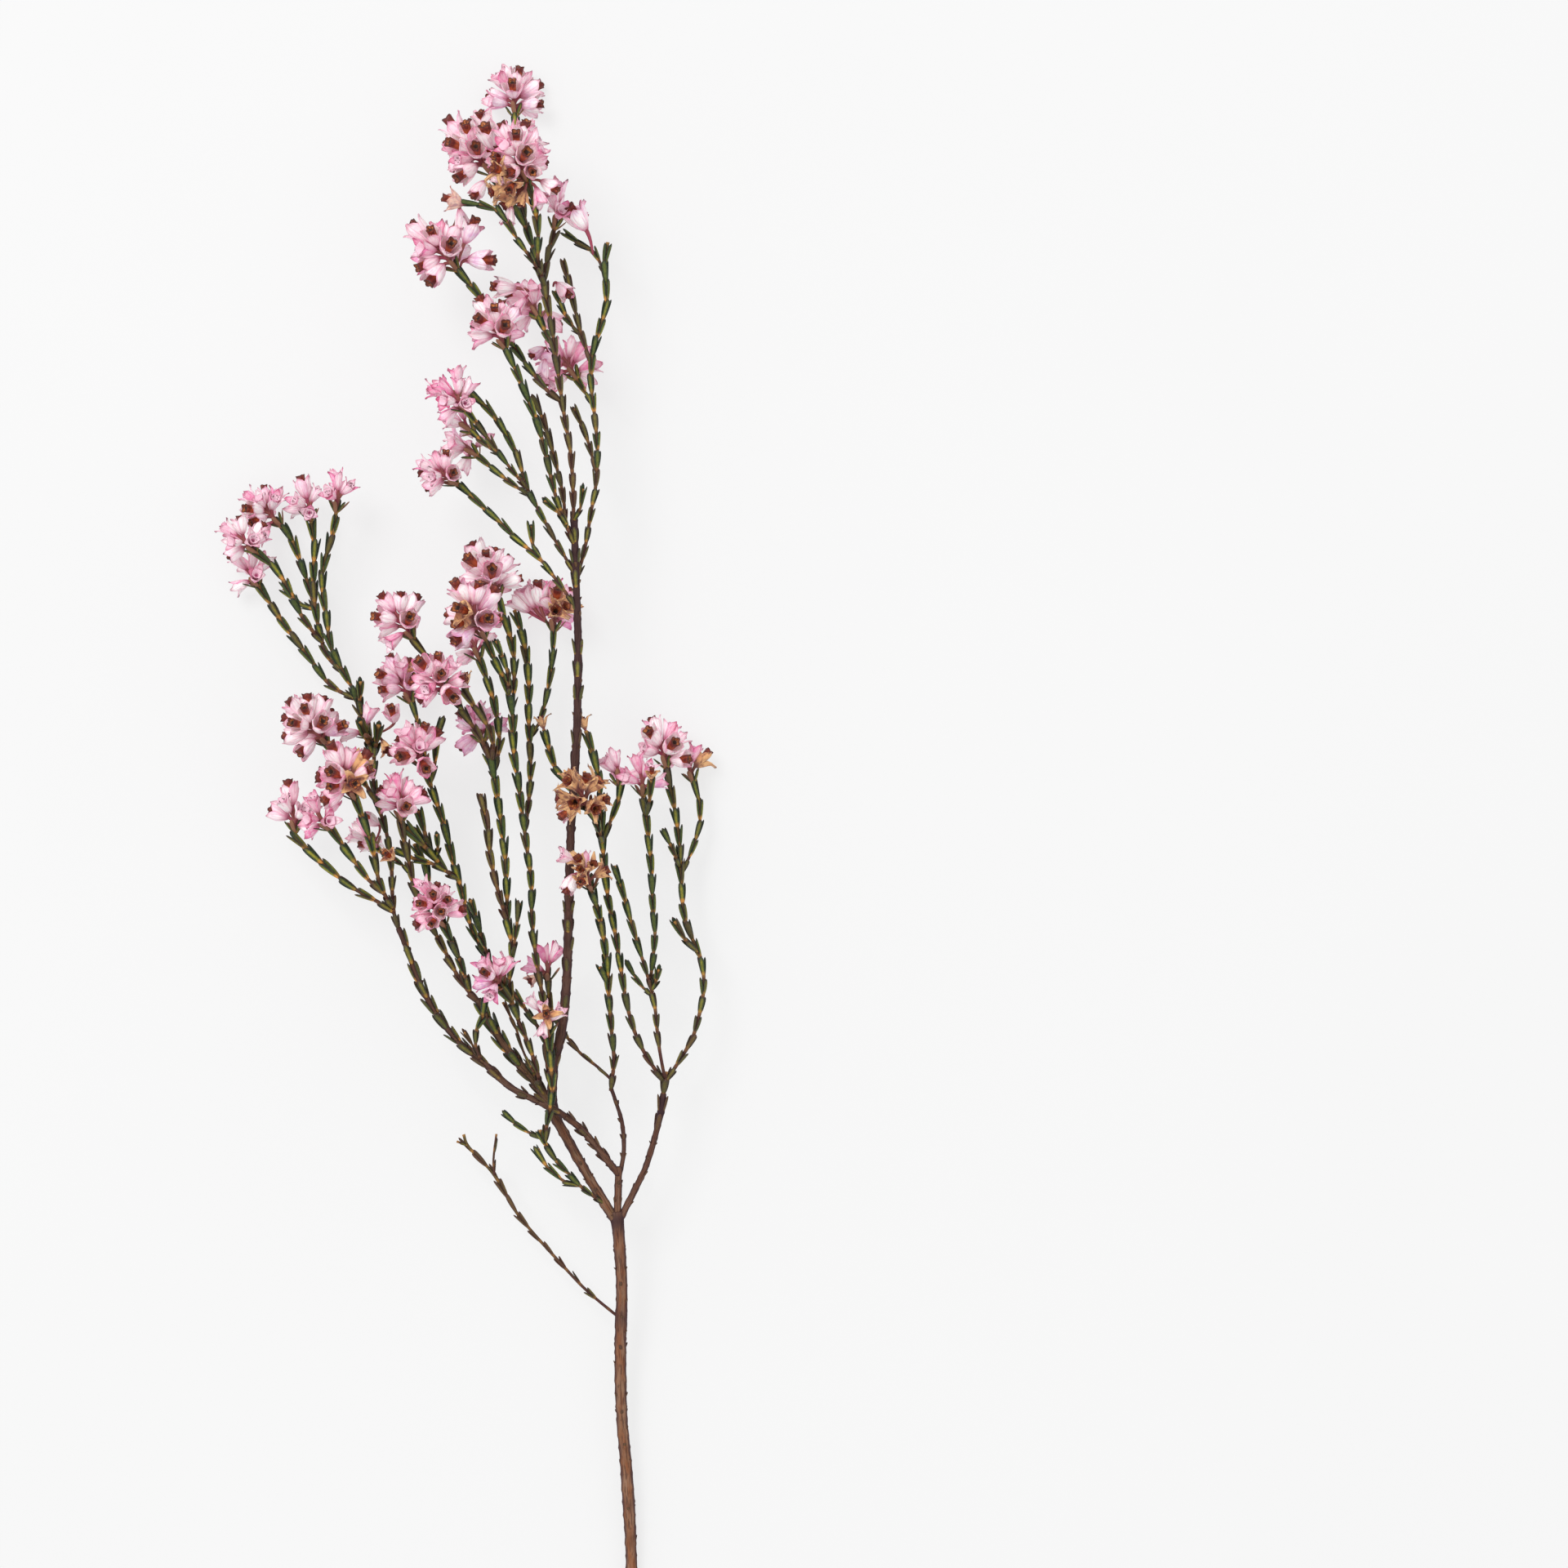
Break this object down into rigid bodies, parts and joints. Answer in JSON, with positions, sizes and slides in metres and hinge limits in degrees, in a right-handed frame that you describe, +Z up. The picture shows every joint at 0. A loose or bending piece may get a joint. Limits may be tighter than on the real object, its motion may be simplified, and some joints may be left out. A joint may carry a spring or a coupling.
{
  "type": "heath stem",
  "caption": "Cut stem of heath lying on its side, with brown forked wood, twigs of small overlapping needle leaves and heads of pale pink flowers with dried brown tubes.",
  "frame": {"origin": "on the table under the middle of the whole lying stem", "axes": "+Y along the stem from the cut end to the top, +Z up from the table, +X to the right as seen from above"},
  "size_m": [0.1226, 0.3837, 0.0477],
  "materials": {
    "bark": "rough reddish brown bark with old leaf scars",
    "leaf": "dull dark green small leaves with tan joints",
    "petal": "dry pale pink petals with darker tips and brown tubes"
  },
  "bodies": {
    "root": {"woody_stem": "bark", "low_left_spray": "leaf", "low_green_spray": "leaf", "second_spray": "leaf", "r_spray": "leaf", "far_left_spray": "leaf", "centre_left_spray": "leaf", "centre_spray": "leaf", "upper_fan_spray": "leaf", "lower_fan_spray": "leaf", "crown_left_spray": "leaf", "crown_spray": "leaf", "crown_right_spray": "leaf", "right_spray": "leaf", "x_spray": "leaf", "head_a": "petal", "head_b": "petal", "head_c": "petal", "head_d": "petal", "head_e": "petal", "head_f": "petal", "head_g": "petal", "head_h": "petal", "head_i1": "petal", "head_i2": "petal", "head_i3": "petal", "head_i4": "petal", "head_i5": "petal", "head_j1": "petal", "head_j2": "petal", "head_j3": "petal", "head_j3_left": "petal", "head_j4": "petal", "head_k": "petal", "head_l_high": "petal", "head_l_low": "petal", "head_l_side": "petal", "head_m": "petal", "head_n": "petal", "head_n_back": "petal", "head_o": "petal", "head_p": "petal", "head_q": "petal", "head_r": "petal", "head_r_left": "petal", "head_s": "petal", "head_t": "petal", "head_u": "petal", "head_u_back": "petal", "head_v": "petal", "head_w": "petal", "head_x": "petal", "head_z": "petal", "head_y1": "petal", "head_y2": "petal", "head_y3": "petal", "head_aa1": "petal", "head_aa2": "petal", "head_aa3": "petal"}
  },
  "joints": []
}
